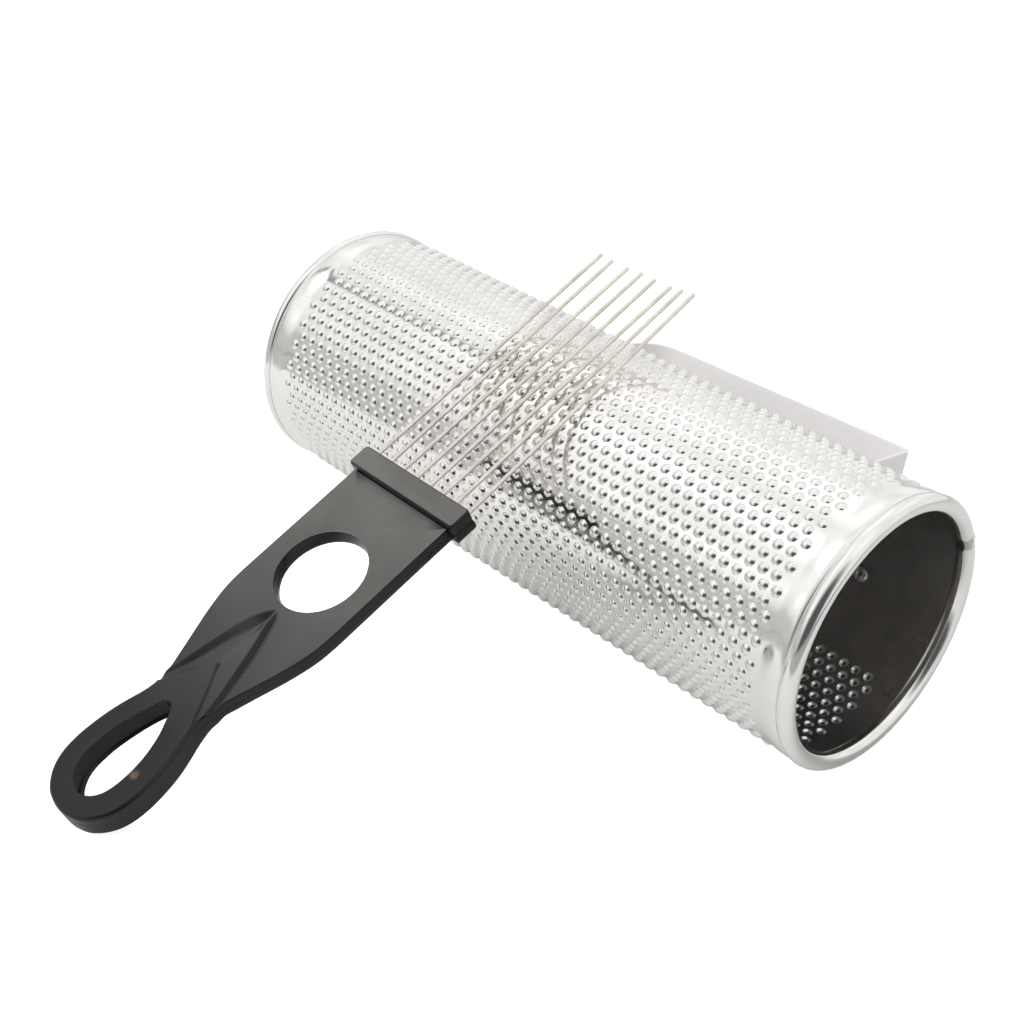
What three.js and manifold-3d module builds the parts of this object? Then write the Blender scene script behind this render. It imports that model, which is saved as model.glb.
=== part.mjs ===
// Metal guiro: a rolled and embossed sheet tube with a riveted strap handle, and a
// plastic scraper with eight wire tines that leans on it. Millimetres, +Z up, the
// tube along X, the floor at z = 0.
import * as THREE from 'three';
import { mergeVertices } from 'three/addons/utils/BufferGeometryUtils.js';
import Module from 'manifold-3d';

const wasm = await Module();
wasm.setup();

// Tube
const TUBE_LENGTH = 257;
const RIM_RADIUS = 47.0;
const BAND_RADIUS = 46.9;
const SHEET = 0.8;
const BEAD_RADIUS = 3.0;
const TUBE_SIDES = 71;

// Dimple field
const DIMPLE_PITCH = 5.0;
const DIMPLE_HEIGHT = 0.9;
const PLAIN_END = 13.5;
const DIMPLES_IN_LONG_ROW = Math.floor((TUBE_LENGTH - 2 * PLAIN_END) / DIMPLE_PITCH);
const DIMPLE_ROWS = 53;
const FIELD_MIDDLE_ROW = 5;
const CREST_RADIUS = 46.9;
const FLARE = 3.5;

// Lap seam of the rolled sheet, in tube sides from the middle of the strap
const SEAM_SIDE = 6;
const SEAM_STEP = 0.5;

// Strap handle
const STRAP_WIDTH = 34;
const STRAP_THICKNESS = 1.2;
const STRAP_STAND_OFF = 46.5;
const STRAP_NEAR_FROM_END = 59.3;
const STRAP_FAR_FROM_END = 72;
const STRAP_NEAR_X = TUBE_LENGTH / 2 - STRAP_NEAR_FROM_END;
const STRAP_FAR_X = -TUBE_LENGTH / 2 + STRAP_FAR_FROM_END;
const STRAP_FOOT = 29;
const CURVE_FADE_LOW = 4;
const CURVE_FADE_HIGH = 24;
const STRAP_SKEW = 0.03;
const SKEW_FROM_X = -3;
const BEND_NEAR = 6;
const BEND_FAR = 14;
const BEND_FOOT = 4;
const FIT_GAP = 0.12;

// Rivets
const RIVET_FROM_LEG = 20.3;
const RIVET_SPREAD = 23;
const SHANK_RADIUS = 2.0;
const RIVET_HEAD_RADIUS = 3.8;
const RIVET_HEAD_HEIGHT = 1.7;
const RIVET_TAIL_RADIUS = 2.9;
const RIVET_TAIL_HEIGHT = 1.1;

// Scraper, in its own frame: x across, y along the tines, z off the plate's face
const TINES = 8;
const TINE_PITCH = 6.53;
const TINE_RADIUS = 0.75;
const TINE_FREE = 110;
const TINE_ROOT = 6.5;
const BAR_WIDTH = 51.6;
const BAR_DEPTH = 8.5;
const BAR_ABOVE = 4.0;
const BAR_BELOW = 4.5;
const PLATE_HALF_WIDTH = 23.2;
const PLATE_TOP = 1.5;
const PLATE_THICKNESS = 5.6;
const LOOP_THICKNESS = 9.0;
const LOOP_END = 147;
const LOOP_HALF_WIDTH = 16.1;
const NECK_Y = -103;
const NECK_HALF_WIDTH = 10.7;
const LOOP_WALL = 4.2;
const WINDOW_Y = -43.2;
const WINDOW_RADIUS = 15.4;
const EDGE_ROUND = 0.9;
const TAPER = 47;
const VEE_LENGTH = WINDOW_Y - WINDOW_RADIUS - 2.4 - NECK_Y;
const VEE_HALF_SPAN = 13;
const VEE_WIDTH = 2.6;
const VEE_DEPTH = 0.9;
const LOOP_STEP = 1;
const LOOP_STEP_SLOPE = -50;
const LOOP_LENGTH = LOOP_END + NECK_Y;

// Where the scraper leans
const REST_GAP = 0.2;
const BAR_TO_CONTACT = 57.5;
const SCRAPER_X = -5.2;
const SCRAPER_YAW = -0.8;

const RAD = Math.PI / 180;
// Cutting blocks reach beyond the whole part
const BEYOND = 4 * TUBE_LENGTH;
const SIDE_ANGLE = 2 * Math.PI / TUBE_SIDES;
const BASE_RADIUS = CREST_RADIUS - DIMPLE_HEIGHT;
const BORE_RADIUS = BASE_RADIUS - SHEET;
const BEAD_CENTRE_R = RIM_RADIUS - BEAD_RADIUS;
const BEAD_CENTRE_X = TUBE_LENGTH / 2 - BEAD_RADIUS;
const HALF_FIELD = (DIMPLES_IN_LONG_ROW - 1) * DIMPLE_PITCH / 2;
const AXIS_Z = RIM_RADIUS * Math.cos(SIDE_ANGLE / 2);
// Tube side 0 is the dimple row nearest the player's eye; half a side below it is the floor side
const ROW_ZERO = 270 * RAD - 24.5 * SIDE_ANGLE;
const STRAP_ANGLE = ROW_ZERO + (FIELD_MIDDLE_ROW + TUBE_SIDES / 2) * SIDE_ANGLE;

function material(colour, metalness, roughness) {
  return new THREE.MeshStandardMaterial({ color: colour, metalness, roughness });
}

const STEEL = () => material(0xd9d9d6, 1.0, 0.18);
const SATIN_STEEL = () => material(0xcfcfcc, 1.0, 0.35);
const PLASTIC = () => material(0x2f2e2d, 0.0, 0.5);
const WIRE = () => material(0xcfcab4, 1.0, 0.3);

function bare(geometry) {
  geometry.deleteAttribute('normal');
  geometry.deleteAttribute('uv');
  return mergeVertices(geometry, 1e-4);
}

function toSolid(geometry) {
  const clean = bare(geometry);
  const vertProperties = new Float32Array(clean.attributes.position.array);
  const triVerts = new Uint32Array(clean.index.array);
  const solid = new wasm.Manifold(new wasm.Mesh({ numProp: 3, vertProperties, triVerts }));
  return solid;
}

function toGeometry(solid) {
  const mesh = solid.getMesh();
  const geometry = new THREE.BufferGeometry();
  geometry.setAttribute('position', new THREE.BufferAttribute(new Float32Array(mesh.vertProperties), 3));
  geometry.setIndex(new THREE.BufferAttribute(new Uint32Array(mesh.triVerts), 1));
  geometry.computeVertexNormals();
  return geometry;
}

function part(name, geometry, look) {
  const mesh = new THREE.Mesh(geometry, look);
  mesh.name = name;
  mesh.geometry.computeVertexNormals();
  return mesh;
}

// A lathe shape turned about Y becomes one turned about X: height to X, angle from +Y to +Z
function alongX(geometry) {
  const m = new THREE.Matrix4().makeBasis(
    new THREE.Vector3(0, 0, 1),
    new THREE.Vector3(1, 0, 0),
    new THREE.Vector3(0, 1, 0));
  geometry.applyMatrix4(m);
  return geometry;
}

// Tube shell

function beadArc(radius, angles, side) {
  return angles.map((a) => new THREE.Vector2(
    BEAD_CENTRE_R + radius * Math.sin(a * RAD),
    side * (BEAD_CENTRE_X + radius * Math.cos(a * RAD))));
}

function tubeProfile() {
  const columns = 2 * (DIMPLES_IN_LONG_ROW - 1) + 1;
  const outer = [];
  for (let j = 0; j < columns; j += 1) {
    outer.push(new THREE.Vector2(BASE_RADIUS, -HALF_FIELD + j * DIMPLE_PITCH / 2));
  }
  const rim = (side) => {
    const sheetOut = beadArc(BEAD_RADIUS, [90, 30, -30, -90, -150], side);
    const sheetIn = beadArc(BEAD_RADIUS - SHEET, [-60, 50], side);
    const band = [
      new THREE.Vector2(BAND_RADIUS, side * (HALF_FIELD + FLARE)),
      ...sheetOut, ...sheetIn,
      new THREE.Vector2(BORE_RADIUS, side * (HALF_FIELD + FLARE)),
    ];
    return band;
  };
  const near = rim(1);
  const far = rim(-1).reverse();
  const profile = [...outer, ...near, ...far, outer[0].clone()];
  return { profile, columns };
}

function tubeGeometry() {
  const { profile, columns } = tubeProfile();
  const lathe = new THREE.LatheGeometry(profile, TUBE_SIDES);
  const place = lathe.attributes.position;
  const index = lathe.index.array;
  const count = profile.length;
  const firstRow = FIELD_MIDDLE_ROW - (DIMPLE_ROWS - 1) / 2;
  const rowOf = (i) => ((i - firstRow) % TUBE_SIDES + TUBE_SIDES) % TUBE_SIDES;
  const raise = (i, j, amount) => {
    // The profile's last point closes it on the first, so the two move together
    for (const at of j === 0 ? [i * count, (i + 1) * count - 1] : [i * count + j]) {
      const k = 1 + amount / Math.hypot(place.getX(at), place.getZ(at));
      place.setX(at, place.getX(at) * k);
      place.setZ(at, place.getZ(at) * k);
    }
  };
  const seamRow = FIELD_MIDDLE_ROW + Math.ceil(TUBE_SIDES / 2) + SEAM_SIDE;
  for (let i = 0; i <= TUBE_SIDES; i += 1) {
    const row = rowOf(i);
    for (let j = 0; j < columns; j += 1) {
      if (row < DIMPLE_ROWS && (row + firstRow + j) % 2 === 0) {
        raise(i, j, DIMPLE_HEIGHT);
      }
      if ((i - seamRow) % TUBE_SIDES === 0) {
        raise(i, j, SEAM_STEP);
      }
    }
  }
  // In the field each cell is split between its two low corners, so every dimple stands alone
  for (let i = 0; i < TUBE_SIDES; i += 1) {
    for (let j = 0; j < columns - 1; j += 1) {
      if ((rowOf(i) + firstRow + j) % 2 !== 0) {
        const cell = (i * (count - 1) + j) * 6;
        const a = j + i * count;
        const b = a + count;
        index.set([a, b, b + 1, b + 1, a + 1, a], cell);
      }
    }
  }
  alongX(lathe);
  lathe.rotateX(ROW_ZERO);
  return lathe;
}

const footLeg = { near: STRAP_NEAR_X, far: STRAP_FAR_X };
const rivetX = { near: footLeg.near + RIVET_FROM_LEG, far: footLeg.far - RIVET_FROM_LEG };

// The strap sits slightly askew on the tube: its middle line climbs towards the near end
function skewAt(x) {
  return STRAP_SKEW * (x - SKEW_FROM_X);
}

function rivetAngle(x, side) {
  return STRAP_ANGLE + Math.asin((side * RIVET_SPREAD / 2 + skewAt(x)) / BASE_RADIUS);
}

function drill(radius, x, angle, length, segments = 8) {
  const tool = new THREE.CylinderGeometry(radius, radius, length, segments);
  tool.translate(0, length / 2, 0);
  tool.rotateX(angle);
  tool.translate(x, 0, 0);
  return toSolid(tool);
}

function rivetHoles(radius) {
  const tools = [];
  for (const x of Object.values(rivetX)) {
    for (const side of [-1, 1]) {
      tools.push(drill(radius, x, rivetAngle(x, side), 2 * RIM_RADIUS));
    }
  }
  return wasm.Manifold.union(tools);
}

function tubeShell() {
  const shell = toSolid(tubeGeometry()).simplify(1e-4);
  return toGeometry(shell.subtract(rivetHoles(SHANK_RADIUS + FIT_GAP)));
}

// Strap handle: a flat profile of the bent strip, then its feet are curved to the tube

function bentStrip(points, radii, thickness) {
  const outline = new THREE.Path();
  outline.moveTo(points[0].x, points[0].y);
  for (let n = 1; n < points.length - 1; n += 1) {
    const corner = points[n];
    const back = points[n - 1].clone().sub(corner).normalize();
    const ahead = points[n + 1].clone().sub(corner).normalize();
    const half = back.angleTo(ahead) / 2;
    const reach = radii[n - 1] / Math.tan(half);
    const from = corner.clone().addScaledVector(back, reach);
    outline.lineTo(from.x, from.y);
    const centre = corner.clone().addScaledVector(
      back.clone().add(ahead).normalize(), radii[n - 1] / Math.sin(half));
    const start = from.clone().sub(centre);
    const turn = Math.sign(back.clone().negate().cross(ahead)) * (Math.PI - 2 * half);
    const steps = radii[n - 1] > 10 ? 6 : 4;
    for (let s = 1; s <= steps; s += 1) {
      const p = start.clone().rotateAround(new THREE.Vector2(), turn * s / steps).add(centre);
      outline.lineTo(p.x, p.y);
    }
  }
  const last = points[points.length - 1];
  outline.lineTo(last.x, last.y);
  const line = outline.getPoints(1);
  const upper = [];
  const lower = [];
  for (let n = 0; n < line.length; n += 1) {
    const before = line[Math.max(n - 1, 0)];
    const after = line[Math.min(n + 1, line.length - 1)];
    const a = line[n].clone().sub(before).normalize();
    const b = after.clone().sub(line[n]).normalize();
    const along = a.add(b).normalize();
    const across = new THREE.Vector2(-along.y, along.x);
    const inner = n > 0 ? line[n].clone().sub(before).normalize() : along;
    const mitre = thickness / 2 / Math.max(Math.abs(inner.dot(along)), 0.5);
    upper.push(line[n].clone().addScaledVector(across, mitre));
    lower.push(line[n].clone().addScaledVector(across, -mitre));
  }
  return new THREE.Shape([...upper, ...lower.reverse()]);
}

function strapHandle() {
  const half = STRAP_THICKNESS / 2;
  const foot = BASE_RADIUS + half + FIT_GAP;
  const grip = RIM_RADIUS + STRAP_STAND_OFF - half;
  const near = STRAP_NEAR_X - half;
  const far = STRAP_FAR_X + half;
  const v = (x, y) => new THREE.Vector2(x, y);
  const shape = bentStrip(
    [v(far - STRAP_FOOT, foot), v(far, foot), v(far, grip), v(near, grip), v(near, foot), v(near + STRAP_FOOT, foot)],
    [BEND_FOOT, BEND_FAR, BEND_NEAR, BEND_FOOT], STRAP_THICKNESS);
  const strip = new THREE.ExtrudeGeometry(shape, {
    depth: STRAP_WIDTH, steps: 6, bevelEnabled: false, curveSegments: 1 });
  strip.translate(0, 0, -STRAP_WIDTH / 2);
  const place = strip.attributes.position;
  for (let n = 0; n < place.count; n += 1) {
    const y = place.getY(n);
    const z = place.getZ(n) + skewAt(place.getX(n));
    const flat = THREE.MathUtils.smoothstep(y, foot + CURVE_FADE_LOW, foot + CURVE_FADE_HIGH);
    const fall = BASE_RADIUS - Math.sqrt(BASE_RADIUS ** 2 - z ** 2);
    place.setY(n, y - (1 - flat) * fall);
    place.setZ(n, z);
  }
  strip.rotateX(STRAP_ANGLE);
  return toGeometry(toSolid(strip).simplify(1e-3).subtract(rivetHoles(SHANK_RADIUS + FIT_GAP)));
}

// Tubular rivet: domed head outside, rolled tail with a blind hole inside
function rivet(x, angle) {
  const seat = BASE_RADIUS + STRAP_THICKNESS + 2 * FIT_GAP;
  const bore = BORE_RADIUS * Math.cos(SIDE_ANGLE / 2);
  const inner = Math.sqrt(bore ** 2 - RIVET_TAIL_RADIUS ** 2) - FIT_GAP;
  const v = (r, h) => new THREE.Vector2(r, h);
  const profile = [
    v(0, inner - RIVET_TAIL_HEIGHT + 2.4),
    v(0.9, inner - RIVET_TAIL_HEIGHT + 2.2),
    v(1.0, inner - RIVET_TAIL_HEIGHT + 0.3),
    v(1.6, inner - RIVET_TAIL_HEIGHT),
    v(RIVET_TAIL_RADIUS - 0.5, inner - RIVET_TAIL_HEIGHT),
    v(RIVET_TAIL_RADIUS, inner),
    v(SHANK_RADIUS, inner),
    v(SHANK_RADIUS, seat),
    v(RIVET_HEAD_RADIUS, seat),
    v(RIVET_HEAD_RADIUS - 0.5, seat + 0.45 * RIVET_HEAD_HEIGHT),
    v(RIVET_HEAD_RADIUS * 0.5, seat + 0.9 * RIVET_HEAD_HEIGHT),
    v(0, seat + RIVET_HEAD_HEIGHT),
  ];
  const body = new THREE.LatheGeometry(profile, 8);
  body.rotateX(angle);
  body.translate(x, 0, 0);
  return bare(body);
}

// Scraper

function halfOutline() {
  const w = PLATE_HALF_WIDTH;
  return [
    [w, NECK_Y + TAPER], [w * 0.925, NECK_Y + 0.7 * TAPER],
    [w * 0.741, NECK_Y + 0.436 * TAPER], [w * 0.56, NECK_Y + 0.16 * TAPER],
    [NECK_HALF_WIDTH, NECK_Y], [LOOP_HALF_WIDTH * 0.82, NECK_Y - 0.182 * LOOP_LENGTH],
    [LOOP_HALF_WIDTH * 0.97, NECK_Y - 0.409 * LOOP_LENGTH],
    [LOOP_HALF_WIDTH, NECK_Y - 0.591 * LOOP_LENGTH],
    [LOOP_HALF_WIDTH * 0.915, NECK_Y - 0.807 * LOOP_LENGTH],
    [LOOP_HALF_WIDTH * 0.57, NECK_Y - 0.95 * LOOP_LENGTH], [0, -LOOP_END],
  ].map(([x, y]) => new THREE.Vector2(x, y));
}

function handleOutline(front) {
  const right = new THREE.SplineCurve(halfOutline()).getPoints(22);
  const left = right.slice(0, -1).reverse().map((p) => new THREE.Vector2(-p.x, p.y));
  return [
    new THREE.Vector2(-PLATE_HALF_WIDTH, front), new THREE.Vector2(PLATE_HALF_WIDTH, front),
    ...right, ...left,
  ];
}

function loopHole() {
  const w = LOOP_HALF_WIDTH - LOOP_WALL;
  const length = LOOP_LENGTH - LOOP_WALL;
  const right = new THREE.SplineCurve([
    [0, 0.015], [w * 0.3, 0.05], [w * 0.58, 0.176], [w * 0.88, 0.427], [w, 0.653],
    [w * 0.88, 0.819], [w * 0.5, 0.957], [0, 1],
  ].map(([x, share]) => new THREE.Vector2(x, NECK_Y - share * length))).getPoints(14);
  const left = right.slice(1, -1).reverse().map((p) => new THREE.Vector2(-p.x, p.y));
  return [...right, ...left];
}

function slab(outline, holes, bottom, top, bevel) {
  // Extrusion only puts the holes' direction right when the outline runs anticlockwise
  const ring = THREE.ShapeUtils.isClockWise(outline) ? outline.slice().reverse() : outline;
  const shape = new THREE.Shape(ring);
  for (const hole of holes) {
    shape.holes.push(new THREE.Path(hole));
  }
  const geometry = new THREE.ExtrudeGeometry(shape, {
    depth: top - bottom - 2 * bevel, bevelEnabled: bevel > 0, bevelThickness: bevel,
    bevelSize: bevel, bevelOffset: -bevel, bevelSegments: 1, steps: 1 });
  geometry.translate(0, 0, bottom + bevel);
  return toSolid(geometry);
}

function block(x0, x1, y0, y1, z0, z1) {
  const box = new THREE.BoxGeometry(x1 - x0, y1 - y0, z1 - z0);
  box.translate((x0 + x1) / 2, (y0 + y1) / 2, (z0 + z1) / 2);
  return toSolid(box);
}

// A shallow V cut along the plate's face from one point to another
function veeCut(x0, y0, x1, y1, width, depth) {
  const length = Math.hypot(x1 - x0, y1 - y0);
  const vee = new THREE.Shape([
    new THREE.Vector2(-width / 2, 0.01), new THREE.Vector2(0, -depth), new THREE.Vector2(width / 2, 0.01)]);
  const cut = new THREE.ExtrudeGeometry(vee, { depth: length, bevelEnabled: false });
  cut.rotateX(-Math.PI / 2);
  const m = new THREE.Matrix4().makeBasis(
    new THREE.Vector3((y0 - y1) / length, (x1 - x0) / length, 0),
    new THREE.Vector3((x1 - x0) / length, (y1 - y0) / length, 0),
    new THREE.Vector3(0, 0, -1));
  m.setPosition(x0, y0, PLATE_TOP);
  cut.applyMatrix4(m);
  return toSolid(cut);
}

function tineX(n) {
  return (n - (TINES - 1) / 2) * TINE_PITCH;
}

function tineBores(extra) {
  const tools = [];
  for (let n = 0; n < TINES; n += 1) {
    const bore = new THREE.CylinderGeometry(TINE_RADIUS + extra, TINE_RADIUS + extra, TINE_ROOT + 3, 8);
    bore.translate(tineX(n), -(TINE_ROOT + 3) / 2 + 2.8, 0);
    tools.push(toSolid(bore));
  }
  return wasm.Manifold.union(tools);
}

function circle(x, y, radius, segments) {
  const ring = [];
  for (let n = 0; n < segments; n += 1) {
    const a = 2 * Math.PI * n / segments;
    ring.push(new THREE.Vector2(x + radius * Math.cos(a), y + radius * Math.sin(a)));
  }
  return ring;
}

function scraperHandle() {
  const front = -BAR_DEPTH + 2;
  const window = circle(0, WINDOW_Y, WINDOW_RADIUS, 28);
  const plate = slab(handleOutline(front), [window, loopHole()],
    PLATE_TOP - PLATE_THICKNESS, PLATE_TOP, EDGE_ROUND);
  const loopFull = slab(handleOutline(front), [loopHole()],
    PLATE_TOP - LOOP_THICKNESS, PLATE_TOP - 1, EDGE_ROUND);
  const loop = loopFull.intersect(
    block(-BEYOND, BEYOND, -BEYOND, 0, -BEYOND, BEYOND).rotate([LOOP_STEP_SLOPE, 0, 0])
      .translate([0, NECK_Y + LOOP_STEP, 0]));
  const b = BAR_WIDTH / 2;
  const lowerBar = block(-b, b, -BAR_DEPTH, 0, -BAR_BELOW, -0.05);
  const seat = block(-BEYOND, BEYOND, -BAR_DEPTH - 0.3, BAR_DEPTH, -0.05, BEYOND);
  const vees = [];
  for (const side of [-1, 1]) {
    const bendX = side * 0.8 * NECK_HALF_WIDTH;
    const bendY = NECK_Y + 0.6 * VEE_LENGTH;
    vees.push(veeCut(0, NECK_Y + VEE_LENGTH, bendX, bendY, VEE_WIDTH, VEE_DEPTH));
    vees.push(veeCut(bendX, bendY, side * VEE_HALF_SPAN, NECK_Y + 0.12 * VEE_LENGTH,
      VEE_WIDTH, VEE_DEPTH));
    vees.push(veeCut(0, NECK_Y + 0.43 * VEE_LENGTH, side * 0.92 * VEE_HALF_SPAN, NECK_Y + 1.5,
      0.77 * VEE_WIDTH, 0.77 * VEE_DEPTH));
  }
  return toGeometry(plate.add(loop).subtract(seat).add(lowerBar)
    .subtract(tineBores(0.2)).subtract(wasm.Manifold.union(vees)));
}

function clampCap() {
  const b = BAR_WIDTH / 2;
  const outline = [
    new THREE.Vector2(-b, -BAR_DEPTH + 1), new THREE.Vector2(-b + 1, -BAR_DEPTH),
    new THREE.Vector2(b - 1, -BAR_DEPTH), new THREE.Vector2(b, -BAR_DEPTH + 1),
    new THREE.Vector2(b, -1.5), new THREE.Vector2(b - 1.5, 0),
    new THREE.Vector2(-b + 1.5, 0), new THREE.Vector2(-b, -1.5)];
  const cap = slab(outline, [], 0.05 - EDGE_ROUND, BAR_ABOVE, EDGE_ROUND);
  const lower = block(-BEYOND, BEYOND, -BEYOND, BEYOND, -BEYOND, 0.05);
  return toGeometry(cap.subtract(lower).subtract(tineBores(0.2)));
}

function tine(n) {
  const v = (r, h) => new THREE.Vector2(r, h);
  const profile = [v(0, -TINE_ROOT + 0.2), v(TINE_RADIUS, -TINE_ROOT + 0.2),
    v(TINE_RADIUS, TINE_FREE - 0.4), v(TINE_RADIUS * 0.55, TINE_FREE), v(0, TINE_FREE)];
  const wire = new THREE.LatheGeometry(profile, 6);
  wire.translate(tineX(n), 0, 0);
  return bare(wire);
}

// Lean of the scraper: tines against the crest of the dimples, loop end on the floor
const contactRadius = CREST_RADIUS + REST_GAP + TINE_RADIUS;
const across = contactRadius + PLATE_TOP - LOOP_THICKNESS;
const reach = BAR_TO_CONTACT + LOOP_END - EDGE_ROUND;
const lean = Math.asin(AXIS_Z / Math.hypot(across, reach)) + Math.atan2(across, reach);

const guiro = new THREE.Group();
guiro.name = 'guiro_body';
guiro.position.set(0, 0, AXIS_Z);
guiro.add(part('tube_shell', tubeShell(), STEEL()));
guiro.add(part('strap_handle', strapHandle(), SATIN_STEEL()));
for (const [end, x] of Object.entries(rivetX)) {
  for (const [row, side] of [['upper', 1], ['lower', -1]]) {
    guiro.add(part(`rivet_${end}_${row}`, rivet(x, rivetAngle(x, side)), SATIN_STEEL()));
  }
}

const scraper = new THREE.Group();
scraper.name = 'scraper';
scraper.add(part('scraper_handle', scraperHandle(), PLASTIC()));
scraper.add(part('tine_clamp_cap', clampCap(), PLASTIC()));
for (let n = 0; n < TINES; n += 1) {
  scraper.add(part(`tine_${n + 1}`, tine(n), WIRE()));
}
scraper.rotation.set(lean, 0, SCRAPER_YAW * RAD, 'XYZ');
scraper.position.set(
  SCRAPER_X,
  -contactRadius * Math.sin(lean) - BAR_TO_CONTACT * Math.cos(lean),
  AXIS_Z + contactRadius * Math.cos(lean) - BAR_TO_CONTACT * Math.sin(lean));

const group = new THREE.Group();
group.name = 'metal_guiro';
group.add(guiro);
group.add(scraper);

// The origin is the middle of the overall footprint
group.updateMatrixWorld(true);
const middle = new THREE.Box3().setFromObject(group, true).getCenter(new THREE.Vector3());
for (const half of group.children) {
  half.position.x -= middle.x;
  half.position.y -= middle.y;
}
export default group;
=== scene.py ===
"""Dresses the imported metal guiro: embossed steel tube, riveted strap and wire-tined scraper."""

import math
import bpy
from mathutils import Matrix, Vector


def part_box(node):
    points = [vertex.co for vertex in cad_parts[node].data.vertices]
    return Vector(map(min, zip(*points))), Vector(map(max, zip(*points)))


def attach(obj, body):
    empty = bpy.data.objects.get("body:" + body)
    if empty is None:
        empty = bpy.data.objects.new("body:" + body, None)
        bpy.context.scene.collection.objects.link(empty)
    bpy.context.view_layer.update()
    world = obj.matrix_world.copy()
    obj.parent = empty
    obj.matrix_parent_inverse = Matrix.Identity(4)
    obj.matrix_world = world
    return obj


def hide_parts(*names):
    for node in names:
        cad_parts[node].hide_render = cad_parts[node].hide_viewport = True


bl_info = {
    "name": "Metal Guiro",
    "version": (1, 0, 0),
    "blender": (4, 5, 0),
    "location": "View3D > Sidebar > Guiro",
    "description": "Embossed steel tube with a strap handle, and a scraper with wire tines",
    "category": "Add Mesh",
}

import bmesh
import bpy
from mathutils import Matrix, Vector
from mathutils.geometry import interpolate_bezier

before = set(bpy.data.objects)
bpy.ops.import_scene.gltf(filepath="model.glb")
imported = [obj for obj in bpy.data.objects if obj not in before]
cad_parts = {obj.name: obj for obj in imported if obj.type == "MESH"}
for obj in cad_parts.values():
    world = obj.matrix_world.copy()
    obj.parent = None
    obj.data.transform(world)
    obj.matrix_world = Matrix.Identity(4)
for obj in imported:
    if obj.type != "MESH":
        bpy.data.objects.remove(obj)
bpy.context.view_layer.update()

MM = 0.001
TUBE_LOW, TUBE_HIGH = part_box("tube_shell")

# The tube's polygon has a dimple row on each corner and a flat side on the floor. Rows count
# round from the side of the photo's camera, and the floor and the strap lie between two rows
SIDES = 71
SIDE_ANGLE = 2 * math.pi / SIDES
RIM_RADIUS = (TUBE_HIGH.y - TUBE_LOW.y) / 2 / math.cos(SIDE_ANGLE / 4) / MM
AXIS = Vector((0, (TUBE_HIGH.y + TUBE_LOW.y) / 2 / MM, TUBE_HIGH.z / MM - RIM_RADIUS))
FLOOR_ROW = -24.5
STRAP_ROW = 40.5
ROW_ZERO = math.radians(270) + FLOOR_ROW * SIDE_ANGLE
STRAP_ANGLE = ROW_ZERO + STRAP_ROW * SIDE_ANGLE

# The scraper's own frame: x across, y along the tines, z off the plate's face
SCRAPER_FRAME = (
    Matrix.Translation((-5.2, -16.58588, 66.92225))
    @ Matrix.Rotation(math.radians(24.284355), 4, "X")
    @ Matrix.Rotation(math.radians(-0.8), 4, "Z")
)


# Sizes and colours


def number(name, description, default, low=0.0):
    """A size in millimetres or another plain number."""
    return bpy.props.FloatProperty(name=name, description=description, default=default, min=low)


def colour(name, description, default):
    """A linear colour."""
    return bpy.props.FloatVectorProperty(
        name=name, description=description, default=default,
        size=3, subtype="COLOR", min=0.0, max=1.0)


class TubeSettings(bpy.types.PropertyGroup):
    """Sizes in millimetres and finishes of the embossed tube."""

    dimple_pitch: number("Dimple pitch", "Distance between two dimples of one row, mm", 5.0)
    dimple_radius: number("Dimple radius", "Radius where a dimple leaves the sheet, mm", 2.0)
    dimple_height: number("Dimple height", "Height of a dimple over the sheet, mm", 0.74)
    base_radius: number("Sheet radius", "Outer radius of the sheet between the dimples, mm", 46.0)
    band_radius: number("Band radius", "Outer radius of the plain end bands, mm", 46.55)
    sheet: number("Sheet thickness", "Thickness of the steel sheet, mm", 0.8)
    bead_radius: number("Bead radius", "Radius of the rolled bead, mm", 3.0)
    lap: number("Lap step", "Step where the rolled sheet laps over itself, mm", 0.45)
    polished: colour("Polished steel", "Colour of the outside", (0.9, 0.886, 0.864))
    inside: colour("Inside steel", "Colour of the unpolished inside", (0.5, 0.48, 0.465))


class StrapSettings(bpy.types.PropertyGroup):
    """Sizes in millimetres and finish of the strap handle and its rivets."""

    width: number("Width", "Width of the strip, mm", 34.0)
    thickness: number("Thickness", "Thickness of the strip, mm", 1.2)
    near_x: number("Near leg", "Outer face of the near leg along the tube, mm", 69.2)
    far_x: number("Far leg", "Outer face of the far leg along the tube, mm", -56.5, -100.0)
    stand_off: number("Stand-off", "Outer face of the grip over the rim, mm", 46.5)
    foot: number("Foot", "Length of each foot, mm", 29.0)
    skew: number("Skew", "How much the strap climbs along the tube", 0.03, -0.2)
    satin: colour("Satin steel", "Colour of the strap", (0.99, 0.975, 0.97))


class ScraperSettings(bpy.types.PropertyGroup):
    """Sizes in millimetres and finishes of the scraper."""

    tine_radius: number("Tine radius", "Radius of a wire tine, mm", 0.75)
    tine_pitch: number("Tine pitch", "Distance between tines, mm", 6.53)
    tine_free: number("Tine length", "Free length of a tine, mm", 110.0)
    bar_width: number("Bar width", "Width of the clamp bar, mm", 51.6)
    plastic: colour("Plastic", "Colour of the moulded plastic", (0.006, 0.0058, 0.0057))
    # Painted sheen: the pale colour that upper faces take in place of the light they catch
    painted_sheen: colour("Bloom", "Colour of the scuffed plastic on upper faces", (0.132, 0.127, 0.12))
    wire: colour("Wire", "Colour of the tines", (0.83, 0.8, 0.71))


class StageSettings(bpy.types.PropertyGroup):
    """The floor, the light and the camera."""

    floor_size: number("Floor size", "Side of the white table, m", 6.0)
    key_power: number("Key light", "Power of the soft light overhead, watts", 6.0)
    fill_power: number("Fill light", "Power of the soft light at the left front, watts", 5.0)
    lens: number("Lens", "Focal length for a 36 mm sensor, mm", 58.6514)


SETTINGS = {
    "guiro_tube": TubeSettings,
    "guiro_strap": StrapSettings,
    "guiro_scraper": ScraperSettings,
    "guiro_stage": StageSettings,
}


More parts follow.
